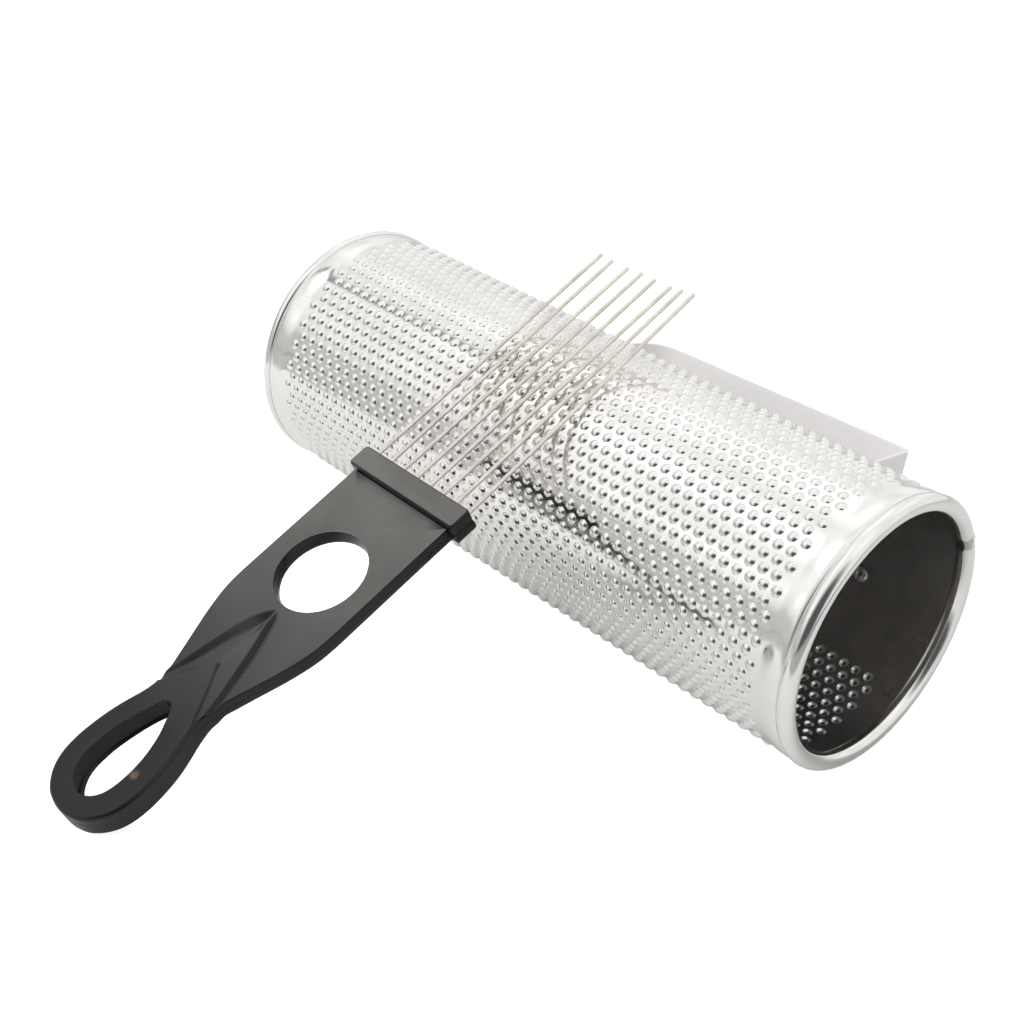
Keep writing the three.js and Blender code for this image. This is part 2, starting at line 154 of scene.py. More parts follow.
# Mesh helpers: every bmesh is made in millimetres


def only(geometry, kind):
    """The elements of one kind in an operator's result."""
    return [g for g in geometry if isinstance(g, kind)]


def new_object(name, bm, looks):
    """An object in the scene with a bmesh's faces. The bmesh is used up."""
    mesh = bpy.data.meshes.new(name)
    bm.to_mesh(mesh)
    bm.free()
    for look in looks:
        mesh.materials.append(look)
    made = bpy.data.objects.new(name, mesh)
    bpy.context.scene.collection.objects.link(made)
    return made


def make_piece(name, bm, looks, body, nodes, crease=None):
    """Turns a bmesh in millimetres into a piece that replaces CAD nodes and rides on a body."""
    bmesh.ops.scale(bm, vec=(MM, MM, MM), verts=bm.verts)
    for face in bm.faces:
        face.smooth = True
    piece = new_object(name, bm, looks)
    mesh = piece.data
    if crease:
        mesh.set_sharp_from_angle(angle=math.radians(crease))
    if "slope" in mesh.attributes:
        # An all-zero normal keeps the one that Blender works out
        slopes = [item.vector.copy() for item in mesh.attributes["slope"].data]
        mesh.attributes.remove(mesh.attributes["slope"])
        mesh.normals_split_custom_set_from_vertices(slopes)
    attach(piece, body)
    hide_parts(*nodes)
    return piece


def rectangle(width, height, columns=1, rows=1):
    """A new bmesh with a flat rectangle around the origin, cut into a grid."""
    bm = bmesh.new()
    bmesh.ops.create_grid(bm, x_segments=columns, y_segments=rows, size=0.5)
    bmesh.ops.scale(bm, vec=(width, height, 1), verts=bm.verts)
    return bm


def place(bm, matrix):
    """Moves everything in a bmesh."""
    bmesh.ops.transform(bm, matrix=matrix, verts=bm.verts)


def weld(bm, reach=1e-3):
    """Joins vertices that lie together and turns all faces outward."""
    bmesh.ops.remove_doubles(bm, verts=bm.verts, dist=reach)
    bmesh.ops.recalc_face_normals(bm, faces=bm.faces)


def extrude(bm, faces, step, keep=False):
    """Draws faces on by a matrix and returns the new ones. The old ones go unless kept."""
    grown = bmesh.ops.extrude_face_region(bm, geom=faces)["geom"]
    if not keep:
        bmesh.ops.delete(bm, geom=faces, context="FACES_ONLY")
    bmesh.ops.transform(bm, matrix=step, verts=only(grown, bmesh.types.BMVert))
    return only(grown, bmesh.types.BMFace)


def smoothstep(value, low, high):
    """0 below low, 1 above high, and an S-curve between."""
    t = min(max((value - low) / (high - low), 0.0), 1.0)
    return t * t * (3 - 2 * t)


# Shader helpers


class Nodes:
    """Adds and joins shader nodes in one tree."""

    def __init__(self, tree):
        self.tree = tree
        tree.nodes.clear()

    def add(self, kind, values=None, **settings):
        """A new shader node, its sockets set to numbers, colours or other sockets."""
        node = self.tree.nodes.new("ShaderNode" + kind)
        for key, value in settings.items():
            setattr(node, key, value)
        for key, value in (values or {}).items():
            socket = node.inputs[key]
            if isinstance(value, bpy.types.NodeSocket):
                self.tree.links.new(value, socket)
            else:
                socket.default_value = value
        return node

    def math(self, operation, a, b=0.0, clamp=False):
        """A math node's result."""
        return self.add("Math", {0: a, 1: b}, operation=operation, use_clamp=clamp).outputs[0]

    def plus(self, a, b):
        """The sum of two values."""
        return self.math("ADD", a, b)

    def times(self, a, b):
        """The product of two values."""
        return self.math("MULTIPLY", a, b)

    def dot(self, a, b):
        """The dot product of two vectors."""
        return self.add("VectorMath", {0: a, 1: b}, operation="DOT_PRODUCT").outputs["Value"]

    def mix(self, factor, a, b):
        """A colour mix's result."""
        return self.add("Mix", {0: factor, 6: a, 7: b}, data_type="RGBA").outputs[2]

    def remap(self, value, low, high, to_low, to_high, curve="LINEAR"):
        """A clamped map from one range to another."""
        return self.add("MapRange", {
            0: value, 1: low, 2: high, 3: to_low, 4: to_high}, interpolation_type=curve).outputs[0]

    def noise(self, vector, scale, detail, roughness=0.5):
        """Soft noise around 0.5."""
        return self.add("TexNoise", {
            "Vector": vector, "Scale": scale, "Detail": detail, "Roughness": roughness}).outputs[0]

    def group(self, tree, values):
        """The first result of a node group."""
        return self.add("Group", values, node_tree=tree).outputs[0]


def shade(owner, output, build):
    """Gives a material or a world the shader that build returns."""
    owner.use_nodes = True
    nodes = Nodes(owner.node_tree)
    owner.node_tree.links.new(build(nodes), nodes.add(output).inputs[0])
    return owner


def new_material(name, build):
    """A material with the surface that build returns."""
    return shade(bpy.data.materials.new(name), "OutputMaterial", build)


def shader_group(name, inputs, output, build):
    """A shader node group with named inputs and one number as its output, built once."""
    if name in bpy.data.node_groups:
        return bpy.data.node_groups[name]
    tree = bpy.data.node_groups.new(name, "ShaderNodeTree")
    for label, kind in inputs.items():
        tree.interface.new_socket(label, in_out="INPUT", socket_type="NodeSocket" + kind)
    tree.interface.new_socket(output, in_out="OUTPUT", socket_type="NodeSocketFloat")
    nodes = Nodes(tree)
    entry = tree.nodes.new("NodeGroupInput")
    leave = tree.nodes.new("NodeGroupOutput")
    tree.links.new(build(nodes, entry.outputs), leave.inputs[output])
    return tree


def handling_marks():
    """Soft blotches of fingers, dust and uneven polish: a mask from 0 to 1."""
    def build(nodes, entry):
        broad = nodes.noise(entry["Vector"], entry["Scale"], 3.0, 0.6)
        fine = nodes.noise(entry["Vector"], nodes.times(entry["Scale"], 7.0), 2.0)
        return nodes.remap(nodes.plus(broad, nodes.times(fine, 0.35)), 0.5, 0.86, 0.0, 1.0)
    return shader_group("handling_marks", {"Vector": "Vector", "Scale": "Float"}, "Mask", build)


def drawn_grain():
    """Fine parallel lines left by rolling or brushing, stretched along one axis."""
    def build(nodes, entry):
        stretched = nodes.add("VectorMath", {
            0: entry["Vector"], 1: entry["Stretch"]}, operation="MULTIPLY").outputs[0]
        return nodes.noise(stretched, 1.0, 4.0)
    return shader_group("drawn_grain", {"Vector": "Vector", "Stretch": "Vector"}, "Lines", build)


def finish(name, colours, roughness, metallic, stretch, marks_scale, bump):
    """A material with handling marks in its colour and gloss, and a fine grain in its relief."""
    def build(nodes):
        where = nodes.add("TexCoord").outputs["Object"]
        marks = nodes.group(handling_marks(), {"Vector": where, "Scale": marks_scale})
        grain = nodes.group(drawn_grain(), {"Vector": where, "Stretch": stretch})
        gloss = nodes.remap(marks, 0.0, 1.0, *roughness)
        spread = nodes.remap(grain, 0.3, 0.7, -0.04, 0.04)
        relief = nodes.add("Bump", {"Height": grain, "Strength": bump[0], "Distance": bump[1]})
        return nodes.add("BsdfPrincipled", {
            "Base Color": nodes.mix(marks, (*colours[0], 1.0), (*colours[1], 1.0)),
            "Metallic": metallic, "Roughness": nodes.plus(gloss, spread),
            "Normal": relief.outputs[0]}).outputs[0]
    return new_material(name, build)


def tint(rgb, factor):
    """A colour made lighter or darker."""
    return tuple(min(c * factor, 1.0) for c in rgb)


# The painted sheen in the scraper's frame: the way the faces it lights look, and where it starts
# and ends
SHEEN_UP = Vector((-0.16, 0.0, 0.987))
SHEEN_REACH = (-112.0, -12.0)


def painted_top_sheen():
    """Painted sheen: upper faces made lighter, as light from above would make them, with blotches,
    fading from the bar to the loop: a mask from 0 to 1.
    """
    up = SCRAPER_FRAME.to_3x3() @ SHEEN_UP
    along = SCRAPER_FRAME.to_3x3() @ Vector((0, 1, 0))
    start = SCRAPER_FRAME.translation.dot(along)
    ends = [(start + end) * MM for end in SHEEN_REACH]

    def build(nodes, entry):
        facing_up = nodes.remap(nodes.dot(entry["Normal"], up), 0.86, 1.0, 0.0, 1.0)
        fade = nodes.remap(nodes.dot(entry["Vector"], along), *ends, 0.0, 1.05)
        blotch = nodes.noise(entry["Vector"], 38.0, 4.0, 0.6)
        uneven = nodes.remap(blotch, 0.3, 0.7, 0.78, 1.12)
        return nodes.math("MULTIPLY", nodes.times(facing_up, fade), uneven, clamp=True)
    return shader_group("painted_top_sheen", {"Vector": "Vector", "Normal": "Vector"}, "Mask", build)


# The brown scar where the moulding gate was broken off the loop, in the scraper's frame, mm
GATE_SCAR = Vector((10.3, -126.6, 1.4))
SCAR_COLOUR = (0.12, 0.075, 0.05, 1.0)


def moulded(name, pale, dark, roughness):
    """Black plastic with a painted pale sheen on its upper faces, and polished by the hand
    elsewhere.
    """
    def build(nodes):
        where = nodes.add("TexCoord").outputs["Object"]
        normal = nodes.add("NewGeometry").outputs["Normal"]
        painted_sheen = nodes.group(painted_top_sheen(), {"Vector": where, "Normal": normal})
        grain = nodes.group(drawn_grain(), {"Vector": where, "Stretch": (2200.0, 2200.0, 2200.0)})
        gloss = nodes.remap(painted_sheen, 0.0, 1.0, roughness[1], roughness[0])
        spread = nodes.remap(grain, 0.3, 0.7, -0.03, 0.03)
        relief = nodes.add("Bump", {"Height": grain, "Strength": 0.04, "Distance": 0.00001})
        from_scar = nodes.add("VectorMath", {
            0: where, 1: SCRAPER_FRAME @ GATE_SCAR * MM}, operation="DISTANCE").outputs["Value"]
        ragged = nodes.plus(from_scar, nodes.remap(grain, 0.3, 0.7, -0.0009, 0.0009))
        scar = nodes.remap(ragged, 0.001, 0.0019, 1.0, 0.0)
        skin = nodes.mix(painted_sheen, (*dark, 1.0), (*pale, 1.0))
        return nodes.add("BsdfPrincipled", {
            "Base Color": nodes.mix(scar, skin, SCAR_COLOUR), "Specular IOR Level": 0.32,
            "Roughness": nodes.plus(gloss, spread),
            "Normal": relief.outputs[0]}).outputs[0]
    return new_material(name, build)


# Tube


# The dimple grid counts half pitches along the tube and sides around it
COLUMNS = 90
FIRST_ROW = -21
LAST_ROW = 31
SEAM_ROW = 47

# A dimple's rings: share of its radius, share of its height, and slope in degrees
DIMPLE_RINGS = ((1.0, 0.0, 0.0), (0.86, 0.16, 46.0), (0.57, 0.66, 29.0), (0.27, 0.93, 13.5))

# A dent's rings on the inner wall: share of the dimple's radius, depth in mm, and slope
DENT_RINGS = ((0.88, 0.0, 0.0), (0.82, 0.2, 46.0), (0.22, 0.6, 44.0))
DENT_DEPTH = 0.7

# The sheet past its last dimples: place along the tube, and share of the rise to the plain band,
# up to the groove beside the bead
BAND_PROFILE = (
    (115.9, 0.06), (116.8, 0.22), (117.7, 0.46), (118.6, 0.7), (119.5, 0.88), (120.4, 0.97),
    (121.6, 1.0), (123.35, 1.0), (123.55, 0.75), (123.62, -0.6), (123.8, -0.6), (123.87, 0.7))
BRUSHED_FROM = 117.0

# The bead runs from its outside to its curled edge. The CAD's outermost corners lie 30 degrees
# off the tube's direction
BEAD_FROM, BEAD_TO = 120, -150
BEAD_CORNER = 30
CURL_END = (119.0, -0.18)

# The lining's ends under the bead: place along the tube, and height over the bore
LINING_END = ((119.0, 0.0), (124.3, 0.0), (124.4, 0.02), (124.4, 0.5))


class FlatSheet:
    """The tube's sheet while it is still flat: x along the tube, y around it, z off its face."""

    def __init__(self, settings, base_radius):
        self.step = settings.dimple_pitch / 2
        self.row = settings.base_radius * SIDE_ANGLE
        self.base = base_radius
        self.edge_x = (COLUMNS + 2) / 2 * self.step
        self.last_y = SEAM_ROW * self.row
        around = SIDES * self.row
        self.bm = rectangle(2 * self.edge_x, around, COLUMNS + 2, SIDES)
        place(self.bm, Matrix.Translation((0, self.last_y - around / 2, 0)))
        self.slope = self.bm.verts.layers.float_vector.new("slope")
        for vert in self.bm.verts:
            vert[self.slope] = (0, 0, 1)

    def is_dimple(self, vert):
        """True where a dimple's middle lies on this corner of the grid."""
        column = round(vert.co.x / self.step) + COLUMNS // 2
        row = round(vert.co.y / self.row)
        inside = FIRST_ROW <= row <= LAST_ROW and 0 <= column <= COLUMNS
        return inside and (row + column) % 2 == 0

    def emboss(self, rings, top):
        """Turns the four cells around each dimple's middle into one round cup."""
        bm = self.bm
        middles = [v for v in bm.verts if self.is_dimple(v)]
        around = list({e.other_vert(v) for v in middles for e in v.link_edges})
        bmesh.ops.connect_verts(bm, verts=around)
        bmesh.ops.dissolve_verts(bm, verts=middles)
        cups = [f for f in bm.faces if f.calc_area() > 1.5 * self.step * self.row]
        bmesh.ops.bisect_edges(bm, edges=list({e for f in cups for e in f.edges}), cuts=1)
        middle = {f: f.calc_center_median() for f in cups}
        for radius, height, steep in rings:
            bmesh.ops.inset_individual(bm, faces=cups, thickness=0.15, use_even_offset=True)
            tilt = math.radians(steep)
            for cup in cups:
                corners = list(cup.verts)
                first = max(range(8), key=lambda n: corners[n].co.x)
                for n in range(8):
                    angle = math.radians(45 * n)
                    out = Vector((math.cos(angle), math.sin(angle), 0))
                    corner = corners[(first + n) % 8]
                    corner.co = middle[cup] + out * radius + Vector((0, 0, height))
                    corner[self.slope] = out * math.sin(tilt) + Vector((0, 0, math.cos(tilt)))
        poked = bmesh.ops.poke(bm, faces=cups)
        for vert in poked["verts"]:
            vert.co.z = top
            vert[self.slope] = (0, 0, 1)
        for face in bm.faces:
            if max(v.co.z for v in face.verts) > 0.01:
                face.material_index = 1

    def draw_edge(self, side, profile, lap, straight):
        """Draws one end edge through a profile of (x, radius) points."""
        bm = self.bm
        edges = [e for e in bm.edges if e.is_boundary
                 and all(abs(v.co.x - side * self.edge_x) < 1e-3 for v in e.verts)]
        for x, radius in profile:
            drawn = bmesh.ops.extrude_edge_only(bm, edges=edges)["geom"]
            edges = only(drawn, bmesh.types.BMEdge)
            for vert in only(drawn, bmesh.types.BMVert):
                on_lap = abs(vert.co.y - self.last_y) < 1e-3
                vert.co.x = side * x
                vert.co.z = radius - self.base + (lap if on_lap else 0.0)
                vert[self.slope] = (0, 0, 1 if straight and radius == self.base else 0)
        return edges

    def draw_ends(self, profile, lap=0.0, straight=False):
        """Draws both end edges through a profile and joins them far inside the sheet."""
        edges = [e for side in (1, -1) for e in self.draw_edge(side, profile, lap, straight)]
        bmesh.ops.bridge_loops(self.bm, edges=edges)

    def roll(self, outward=1):
        """Rolls the sheet round the tube's axis and closes it along the lap."""
        bm = self.bm
        ends = [e for e in bm.edges if e.is_boundary]
        closing = bmesh.ops.bridge_loops(bm, edges=ends)["faces"]
        for face in closing:
            for edge in face.edges:
                edge.smooth = False
        for vert in bm.verts:
            angle = ROW_ZERO + vert.co.y / self.row * SIDE_ANGLE
            radius = self.base + vert.co.z
            vert.co = (
                vert.co.x, AXIS.y + radius * math.cos(angle), AXIS.z + radius * math.sin(angle))
            x, around, off = vert[self.slope]
            vert[self.slope] = outward * Vector((
                x, off * math.cos(angle) - around * math.sin(angle),
                off * math.sin(angle) + around * math.cos(angle)))
        weld(bm)
        return bm


def arc(centre_x, centre_r, radius, angles):
    """Points of a rolled bead: angle 0 at the tube's end, 90 at its outside."""
    return [(centre_x + radius * math.cos(math.radians(a)),
             centre_r + radius * math.sin(math.radians(a))) for a in angles]


class GUIRO_OT_tube(bpy.types.Operator):
    """Embosses the flat sheet, curls its edges and rolls it into the tube"""

    bl_idname = "guiro.tube"
    bl_label = "Tube"

    def execute(self, context):
        s = context.scene.guiro_tube
        polished = finish("polished_sheet", (s.polished, tint(s.polished, 0.93)), (0.09, 0.15),
                          1.0, (30.0, 900.0, 900.0), 28.0, (0.05, 0.00002))
        brushed = finish("brushed_band", (s.polished, tint(s.polished, 0.95)), (0.13, 0.18),
                         1.0, (900.0, 30.0, 30.0), 20.0, (0.12, 0.00002))
        inside = finish("unpolished_sheet", (s.inside, tint(s.inside, 0.7)), (0.30, 0.42),
                        1.0, (12.0, 1100.0, 1100.0), 22.0, (0.28, 0.00005))
        # The dents take a brighter steel than the inner wall around them: a painted highlight that
        # makes them shine as bright spots
        dent = finish("dent_painted_highlight", ((0.97, 0.965, 0.95), s.polished), (0.28, 0.36),
                      1.0, (400.0, 400.0, 400.0), 60.0, (0.05, 0.00002))
        bead_x = (TUBE_HIGH.x - TUBE_LOW.x) / 2 / MM
        bead_x -= s.bead_radius * math.cos(math.radians(BEAD_CORNER))
        bead_r = RIM_RADIUS - s.bead_radius
        r, h = s.dimple_radius, s.dimple_height

        skin = FlatSheet(s, s.base_radius)
        skin.emboss([(share * r, rise * h, slope) for share, rise, slope in DIMPLE_RINGS], h)
        # The sheet's last row laps over its first
        for vert in skin.bm.verts:
            if abs(vert.co.y - skin.last_y) < 1e-3:
                vert.co.z += s.lap
        rise = s.band_radius - s.base_radius
        profile = [(x, s.base_radius + rise * share) for x, share in BAND_PROFILE]
        profile += arc(bead_x, bead_r, s.bead_radius, range(BEAD_FROM, BEAD_TO - 1, -15))
        profile += arc(bead_x, bead_r, s.bead_radius - s.sheet, range(BEAD_TO, 61, 42))
        profile += [(CURL_END[0], s.base_radius + CURL_END[1])]
        skin.draw_ends(profile, s.lap)
        for face in skin.bm.faces:
            face.material_index = int(abs(face.calc_center_median().x) > BRUSHED_FROM)
        make_piece("tube_outer_skin", skin.roll(), [polished, brushed],
                   "guiro", ["tube_shell"])

        bore = s.base_radius - s.sheet
        lining = FlatSheet(s, bore)
        lining.emboss([(share * r, h, slope) for share, h, slope in DENT_RINGS], DENT_DEPTH)
        lining.draw_ends([(x, bore + h) for x, h in LINING_END], straight=True)
        make_piece("tube_inner_skin", lining.roll(-1), [inside, dent],
                   "guiro", ["tube_shell"])
        return {"FINISHED"}


# Strap handle and rivets


# The strap's bends, mm: small where each foot turns up, wide over the far leg, tight over the near
FOOT_BEND = 4.0
WIDE_BEND = 14.0
TIGHT_BEND = 3.2

# The feet stand this far off the sheet, and the tube's curve in them fades out over these heights
FOOT_GAP = 0.12
CURVE_FADE = (4, 24)
SKEW_CENTRE = -3.0

# The rivets lie this far from the strap's middle line, and from the outer face of its legs
RIVET_ACROSS = 11.5
RIVET_OUT = 20.3

# A rivet's profile as radius and height, mm: the tail up to the bore, and the head over its seat
RIVET_TAIL = (
    (0.0, 2.4), (0.85, 2.3), (0.95, 0.5), (1.25, 0.1), (1.8, 0.0), (2.4, 0.12), (2.85, 0.5),
    (2.9, 0.9), (2.6, 1.15), (2.0, 1.2))
RIVET_HEAD = (
    (2.0, 0.0), (3.7, 0.0), (3.8, 0.25), (3.55, 0.75), (3.0, 1.15), (2.1, 1.48), (1.0, 1.66),
    (0.0, 1.7))
SEAT_GAP = 0.2


def strap_skew(settings, x):
    """How far the strap's middle line has climbed at a place along the tube."""
    return settings.skew * (x - SKEW_CENTRE)


class Strip:
    """A flat strip drawn out and bent in the xy plane, with its width along z."""

    def __init__(self, width, thickness, start):
        self.at = Vector(start)
        self.heading = Vector((1, 0, 0))
        self.bm = rectangle(width, thickness, 24)
        self.end = self.bm.faces[:]
        upright = Matrix(((0, 0, 1, 0), (0, 1, 0, 0), (1, 0, 0, 0), (0, 0, 0, 1)))
        place(self.bm, Matrix.Translation(self.at) @ upright)

    def grow(self, step):
        """Draws the strip's end on by one matrix."""
        self.end = extrude(self.bm, self.end, step)
        self.at = step @ self.at
        self.heading = step.to_3x3() @ self.heading

    def run(self, distance, steps):
        """Draws a straight length."""
        for _ in range(steps):
            self.grow(Matrix.Translation(self.heading * distance / steps))

    def bend(self, radius, hand, steps):
        """Draws a quarter bend, to the left with hand 1 and to the right with -1."""
        centre = self.at + Vector((-self.heading.y, self.heading.x, 0)) * hand * radius
        turn = Matrix.Rotation(hand * math.pi / 2 / steps, 4, "Z")
        for _ in range(steps):
            self.grow(Matrix.Translation(centre) @ turn @ Matrix.Translation(-centre))


class GUIRO_OT_strap(bpy.types.Operator):
    """Bends a flat strip into the handle and curves its feet to the tube"""

    bl_idname = "guiro.strap"
    bl_label = "Strap handle"

    def execute(self, context):
        s = context.scene.guiro_strap
        t = context.scene.guiro_tube
        satin = finish("satin_strap", (s.satin, tint(s.satin, 0.95)), (0.45, 0.55), 0.1,
                       (25.0, 1100.0, 1100.0), 24.0, (0.12, 0.00003))
        half = s.thickness / 2
        foot = t.base_radius + half + FOOT_GAP
        rise = RIM_RADIUS + s.stand_off - half - foot
        near, far = s.near_x - half, s.far_x + half

        strip = Strip(s.width, s.thickness, (far - s.foot, foot, 0))
        strip.run(s.foot - FOOT_BEND, 6)
        strip.bend(FOOT_BEND, 1, 8)
        strip.run(rise - FOOT_BEND - WIDE_BEND, 12)
        strip.bend(WIDE_BEND, -1, 14)
        strip.run(near - far - WIDE_BEND - TIGHT_BEND, 10)
        strip.bend(TIGHT_BEND, -1, 10)
        strip.run(rise - FOOT_BEND - TIGHT_BEND, 12)
        strip.bend(FOOT_BEND, 1, 8)
        strip.run(s.foot - FOOT_BEND, 6)

        bm = strip.bm
        weld(bm, 1e-4)
        for vert in bm.verts:
            z = vert.co.z + strap_skew(s, vert.co.x)
            flat = smoothstep(vert.co.y, foot + CURVE_FADE[0], foot + CURVE_FADE[1])
            fall = t.base_radius - math.sqrt(t.base_radius ** 2 - z * z)
            vert.co.y -= (1 - flat) * fall
            vert.co.z = z
        place(bm, Matrix.Translation(AXIS) @ Matrix.Rotation(STRAP_ANGLE, 4, "X"))
        strap = make_piece("strap_handle_bent", bm, [satin],
                           "guiro", ["strap_handle"], 35)
        edge = strap.modifiers.new("broken edges", "BEVEL")
        edge.width = 0.28 * MM
        edge.segments = 2
        edge.limit_method = "ANGLE"
        edge.angle_limit = math.radians(50)
        return {"FINISHED"}


class GUIRO_OT_rivets(bpy.types.Operator):
    """Turns the four tubular rivets from their profile and sets them in the feet"""

    bl_idname = "guiro.rivets"
    bl_label = "Rivets"

    def execute(self, context):
        s = context.scene.guiro_strap
        t = context.scene.guiro_tube
        look = finish("set_rivet", (tint(s.satin, 0.9), tint(s.satin, 0.75)), (0.2, 0.34), 1.0,
                      (400.0, 400.0, 400.0), 160.0, (0.15, 0.00003))
        seat = t.base_radius + s.thickness + SEAT_GAP
        tail = t.base_radius - t.sheet - RIVET_TAIL[-1][1]
        profile = [(r, tail + h) for r, h in RIVET_TAIL] + [(r, seat + h) for r, h in RIVET_HEAD]
        for end, x in (("near", s.near_x + RIVET_OUT), ("far", s.far_x - RIVET_OUT)):
            for row, side in (("upper", 1), ("lower", -1)):
                bm = bmesh.new()
                chain = [bm.verts.new((r, h, 0)) for r, h in profile]
                line = [bm.edges.new(pair) for pair in zip(chain, chain[1:])]
                bmesh.ops.spin(bm, geom=chain + line, cent=(0, 0, 0), axis=(0, 1, 0),
                               angle=2 * math.pi, steps=28, use_merge=True)
                weld(bm)
                across = side * RIVET_ACROSS + strap_skew(s, x)
                turn = Matrix.Rotation(STRAP_ANGLE + math.asin(across / t.base_radius), 4, "X")
                place(bm, Matrix.Translation(AXIS + Vector((x, 0, 0))) @ turn)
                node = f"rivet_{end}_{row}"
                make_piece(node + "_turned", bm, [look], "guiro", [node], 50)
        return {"FINISHED"}


# Scraper


# The bar's depth, where the plate starts behind it, and heights: the cap's seat and undersides
BAR_DEPTH = 8.5
BAR_BACK = -8.7
BAR_SEAT = -0.05
BAR_UNDER = -4.5
PLATE_UNDER = -4.1

# The wall's line around the bar, from its left back corner to its right back corner
BAR_LINE = (
    (-25.05, -8.5), (-25.4, -8.35), (-25.55, -8.0), (-25.55, -0.6), (-25.4, -0.15), (-25.0, 0.0),
    (25.7, 0.0), (26.1, -0.15), (26.25, -0.6), (26.25, -8.0), (26.1, -8.35), (25.75, -8.5))

# The handle's right side from the bar to the loop's end, and the loop's hole, as the wall's line
HANDLE_SIDE = (
    (23.6, -8.5), (23.6, -32.0), (23.6, -54.0), (23.55, -59.0), (23.2, -64.0), (22.5, -68.0),
    (21.45, -72.0), (20.25, -76.0), (18.85, -80.0), (16.65, -86.0), (14.55, -92.0), (13.3, -95.6),
    (13.1, -98.2), (12.4, -100.8), (12.3, -103.2), (13.2, -107.0), (14.7, -111.5), (16.0, -116.0),
    (16.9, -120.5), (17.5, -125.5), (17.65, -130.0), (17.1, -135.0), (15.5, -139.5),
    (12.7, -143.3), (8.6, -146.5), (4.2, -148.0))
HANDLE_END = -148.5
HANDLE_MIDDLE = -0.35
LOOP_HOLE = (
    (-1.8, -102.8), (0.6, -103.4), (2.5, -105.3), (4.3, -108.0), (6.6, -112.0), (8.3, -116.3),
    (9.5, -120.5), (10.15, -125.0), (10.3, -129.0), (10.0, -133.0), (8.9, -136.9), (6.7, -140.1),
    (3.6, -142.2), (0.0, -143.0), (-3.6, -142.3), (-7.0, -140.3), (-9.7, -137.0),
    (-11.2, -133.0), (-11.6, -128.0), (-11.3, -123.0), (-10.2, -117.5), (-8.3, -111.5),
    (-6.0, -106.5), (-3.9, -103.7))
WINDOW = Vector((0.0, -43.4, 0.0))
WINDOW_RADIUS = 15.4

# The crossing strands' lines over the plate: places along it, and how far each line lies across it
STRAND_Y = (-60.3, -64.0, -68.0, -73.0, -79.0, -86.0, -93.0, -98.0, -104.0)
STRAND_LINES = {
    "left_rim": (0.0, -3.2, -5.8, -7.6, -9.0, -10.4, -11.8, -12.9, -14.0),
    "left_foot": (0.0, -0.9, -2.3, -4.1, -6.1, -8.1, -10.1, -11.8, -13.2),
    "crest": (0.0, 0.0, 0.8, 3.0, 5.2, 7.4, 9.6, 11.0, 11.8),
    "right_foot": (0.0, 1.8, 3.7, 5.7, 7.7, 9.7, 11.4, 12.4, 13.2),
    "right_rim": (0.0, 2.6, 4.6, 6.7, 8.7, 10.7, 12.4, 13.6, 14.6),
}
NECK_Y = (-85.0, -88.0, -92.0, -96.0, -99.0, -102.5, -106.5)
NECK_LINES = {
    "left": (-1.0, -3.3, -6.2, -8.6, -10.4, -12.9, -17.0),
    "right": (-1.0, 1.0, 3.8, 6.4, 8.2, 10.2, 12.4),
}
STRAND_DEPTH = 1.1
PLATE_TOP = 1.5
NECK_TOP = 1.2
LOOP_TOP = 2.05

# The part of the top that is cut into a fine grid for the strands
RELIEF_LOW, RELIEF_HIGH = Vector((-14.5, -107.5, 0)), Vector((14.8, -60.3, 0))
RELIEF_CELL = 0.5

# Cuts across the whole top: beside the bar's step, at the relief's ends and in long faces
TOP_CUTS = (-8.55, -8.8, -20.0, -70.0, -92.0, -60.3, -107.5, -115.0)

# Rings down the handle's wall: share of the way down, and how far inside the wall's line, mm
WALL_RINGS = ((0.3, 0.08), (0.32, 0.0), (0.65, 0.0))


def on_line(places, values, place):
    """The value of a line at a place, straight between its points."""
    for (p0, v0), (p1, v1) in zip(zip(places, values), zip(places[1:], values[1:])):
        if place >= p1:
            return v0 + (v1 - v0) * min((p0 - place) / (p0 - p1), 1.0)
    return values[-1]


def handle_top(x, y):
    """Height of the handle's top: the bar's seat, the plate, the crossing strands and the loop."""
    if y > BAR_BACK:
        return BAR_SEAT
    if y > STRAND_Y[0]:
        return PLATE_TOP
    depth = STRAND_DEPTH * smoothstep(-y, -STRAND_Y[0], 66.0)
    if x < 0:
        # The left strand's groove runs out before it reaches the neck's edge
        depth *= 1.0 - 0.7 * smoothstep(-y, 89.0, 99.0)
    left_rim, left_foot, crest, right_foot, right_rim = (
        on_line(STRAND_Y, line, y) for line in STRAND_LINES.values())
    z = PLATE_TOP
    if left_rim < x <= left_foot:
        z -= depth * (x - left_rim) / (left_foot - left_rim)
    elif left_foot < x <= crest:
        share = (x - left_foot) / (crest - left_foot)
        z -= depth * (1.0 - 1.2 * share ** 2 + 0.28 * math.sin(math.pi * min(share / 0.6, 1.0)))
    elif crest < x <= right_foot:
        z += depth * (0.2 - 1.3 * (x - crest) / (right_foot - crest))
    elif right_foot < x < right_rim:
        z -= 1.1 * depth * (right_rim - x) / (right_rim - right_foot)
    if y < NECK_Y[0]:
        left, right = (on_line(NECK_Y, line, y) for line in NECK_LINES.values())
        inside = min(x - left, right - x) if y > NECK_Y[-1] else math.inf
        level = NECK_TOP + (LOOP_TOP - NECK_TOP) * smoothstep(-y, 86.0, 104.0)
        z += (level - z) * smoothstep(inside, -0.2, 0.7)
    return z


def handle_bottom(y):
    """Height of the handle's underside: the bar, the plate and the thicker loop."""
    if y > BAR_BACK:
        return BAR_UNDER
    return PLATE_UNDER - 1.9 * smoothstep(-y, 95.0, 105.0) - 0.8 * smoothstep(-y, 102.0, 122.0)


